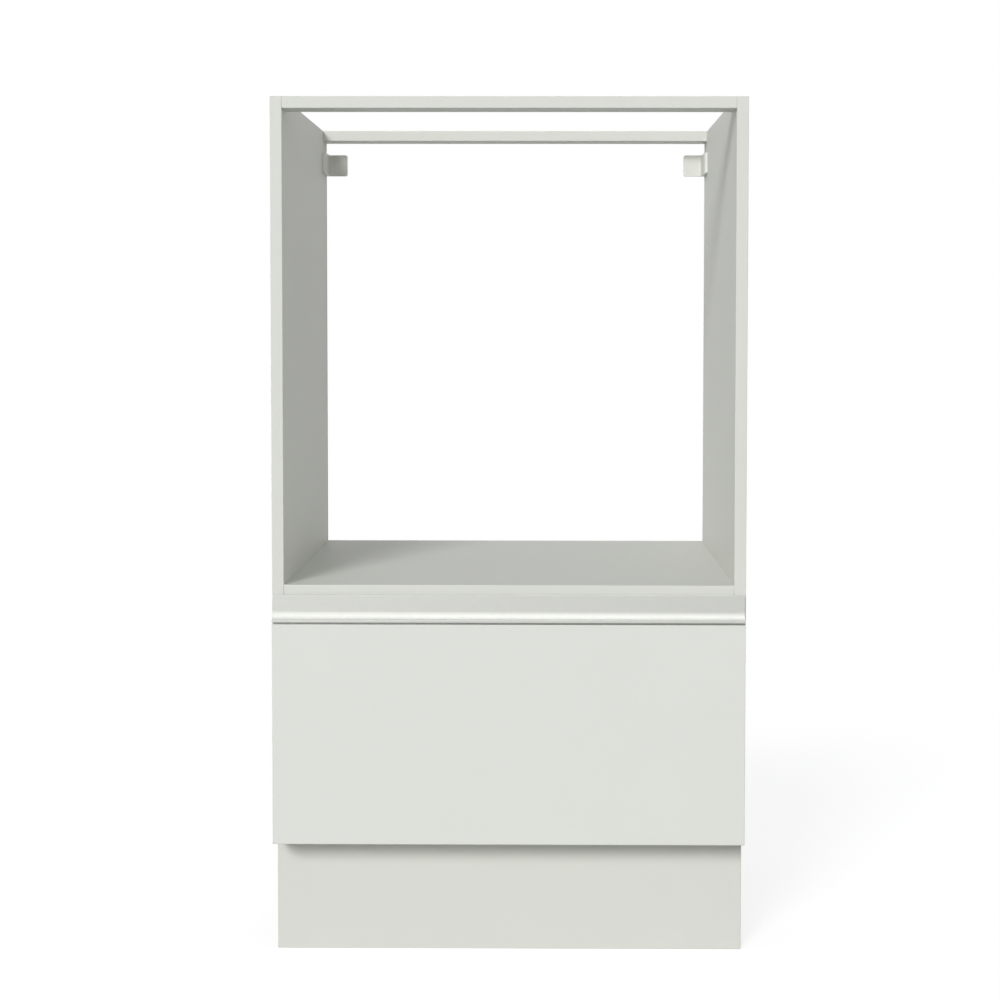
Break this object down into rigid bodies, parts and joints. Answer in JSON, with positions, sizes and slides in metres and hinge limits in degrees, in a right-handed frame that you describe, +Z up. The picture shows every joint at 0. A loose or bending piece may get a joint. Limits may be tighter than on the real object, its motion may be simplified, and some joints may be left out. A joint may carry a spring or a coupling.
{
  "type": "oven base cabinet",
  "caption": "White floor cabinet with an open niche for a built-in oven above a deep drawer with a J-shaped pull, on levelling legs behind a plinth.",
  "frame": {"origin": "on the floor below the middle of the whole cabinet, drawer front included", "axes": "+X to the right seen from the front, +Y to the wall, +Z up"},
  "size_m": [0.6, 0.547, 1.095],
  "materials": {
    "white_board": "matt white melamine on particle board",
    "white_hardboard": "white lacquered hardboard",
    "front_board": "smooth white foil on particle board",
    "box_board": "white foil on particle board",
    "coated_aluminium": "fine satin white powder coat",
    "zinc_casting": "dull zinc casting",
    "zinc_steel": "bright zinc plating",
    "slide_steel": "zinc plated sheet",
    "ball_steel": "polished steel",
    "beech": "plain beech",
    "white_plastic": "smooth moulded white",
    "leg_plastic": "fine textured moulding",
    "clear_rubber": "milky soft plastic"
  },
  "bodies": {
    "carcass": {"side_panel_left": "white_board", "side_panel_right": "white_board", "top_rail_front": "white_board", "top_rail_rear": "white_board", "oven_shelf": "white_board", "bottom_panel": "white_board", "plinth_board": "white_board", "back_panel": "white_hardboard", "cam_housings": "zinc_casting", "cam_bolts": "zinc_steel", "dowels": "beech", "wall_bracket_left": "zinc_steel", "wall_bracket_right": "zinc_steel", "bracket_cover_left": "white_plastic", "bracket_cover_right": "white_plastic", "bracket_screws": "zinc_steel", "slide_outer_left": "slide_steel", "slide_outer_right": "slide_steel", "slide_outer_screws": "zinc_steel", "leg_socket_front_left": "leg_plastic", "leg_socket_front_right": "leg_plastic", "leg_socket_rear_left": "leg_plastic", "leg_socket_rear_right": "leg_plastic", "leg_tube_front_left": "leg_plastic", "leg_tube_front_right": "leg_plastic", "leg_tube_rear_left": "leg_plastic", "leg_tube_rear_right": "leg_plastic", "plinth_clip_left": "leg_plastic", "plinth_clip_right": "leg_plastic", "plinth_clip_screws": "zinc_steel"},
    "drawer": {"drawer_front": "front_board", "handle_profile": "coated_aluminium", "drawer_side_left": "box_board", "drawer_side_right": "box_board", "drawer_inner_front": "box_board", "drawer_back": "box_board", "drawer_bottom": "white_hardboard", "drawer_box_screws": "zinc_steel", "front_fixing_screws": "zinc_steel", "slide_inner_left": "slide_steel", "slide_inner_right": "slide_steel", "slide_inner_screws": "zinc_steel", "front_buffers": "clear_rubber"},
    "slide_middle_left_body": {"slide_middle_left": "slide_steel"},
    "slide_middle_right_body": {"slide_middle_right": "slide_steel"},
    "ball_cage_outer_left_body": {"ball_cage_outer_left": "ball_steel"},
    "ball_cage_outer_right_body": {"ball_cage_outer_right": "ball_steel"},
    "ball_cage_inner_left_body": {"ball_cage_inner_left": "ball_steel"},
    "ball_cage_inner_right_body": {"ball_cage_inner_right": "ball_steel"},
    "foot_front_left": {"levelling_foot_front_left": "leg_plastic"},
    "foot_front_right": {"levelling_foot_front_right": "leg_plastic"},
    "foot_rear_left": {"levelling_foot_rear_left": "leg_plastic"},
    "foot_rear_right": {"levelling_foot_rear_right": "leg_plastic"}
  },
  "joints": [
    {"name": "drawer_slide", "type": "slide", "parent": "carcass", "child": "drawer", "axis": [0, -1, 0], "range_m": [0, 0.45]},
    {"name": "slide_middle_left_slide", "type": "slide", "parent": "carcass", "child": "slide_middle_left_body", "axis": [0, -1, 0], "range_m": [0, 0.225]},
    {"name": "slide_middle_right_slide", "type": "slide", "parent": "carcass", "child": "slide_middle_right_body", "axis": [0, -1, 0], "range_m": [0, 0.225]},
    {"name": "ball_cage_outer_left_slide", "type": "slide", "parent": "carcass", "child": "ball_cage_outer_left_body", "axis": [0, -1, 0], "range_m": [0, 0.1125]},
    {"name": "ball_cage_outer_right_slide", "type": "slide", "parent": "carcass", "child": "ball_cage_outer_right_body", "axis": [0, -1, 0], "range_m": [0, 0.1125]},
    {"name": "ball_cage_inner_left_slide", "type": "slide", "parent": "carcass", "child": "ball_cage_inner_left_body", "axis": [0, -1, 0], "range_m": [0, 0.3375]},
    {"name": "ball_cage_inner_right_slide", "type": "slide", "parent": "carcass", "child": "ball_cage_inner_right_body", "axis": [0, -1, 0], "range_m": [0, 0.3375]},
    {"name": "foot_front_left_adjust", "type": "slide", "parent": "carcass", "child": "foot_front_left", "axis": [0, 0, 1], "range_m": [-0.015, 0.005]},
    {"name": "foot_front_right_adjust", "type": "slide", "parent": "carcass", "child": "foot_front_right", "axis": [0, 0, 1], "range_m": [-0.015, 0.005]},
    {"name": "foot_rear_left_adjust", "type": "slide", "parent": "carcass", "child": "foot_rear_left", "axis": [0, 0, 1], "range_m": [-0.015, 0.005]},
    {"name": "foot_rear_right_adjust", "type": "slide", "parent": "carcass", "child": "foot_rear_right", "axis": [0, 0, 1], "range_m": [-0.015, 0.005]}
  ],
  "couplings": [
    {"joint": "slide_middle_left_slide", "follows": "drawer_slide", "ratio": 0.5},
    {"joint": "slide_middle_right_slide", "follows": "drawer_slide", "ratio": 0.5},
    {"joint": "ball_cage_outer_left_slide", "follows": "drawer_slide", "ratio": 0.25},
    {"joint": "ball_cage_outer_right_slide", "follows": "drawer_slide", "ratio": 0.25},
    {"joint": "ball_cage_inner_left_slide", "follows": "drawer_slide", "ratio": 0.75},
    {"joint": "ball_cage_inner_right_slide", "follows": "drawer_slide", "ratio": 0.75}
  ]
}
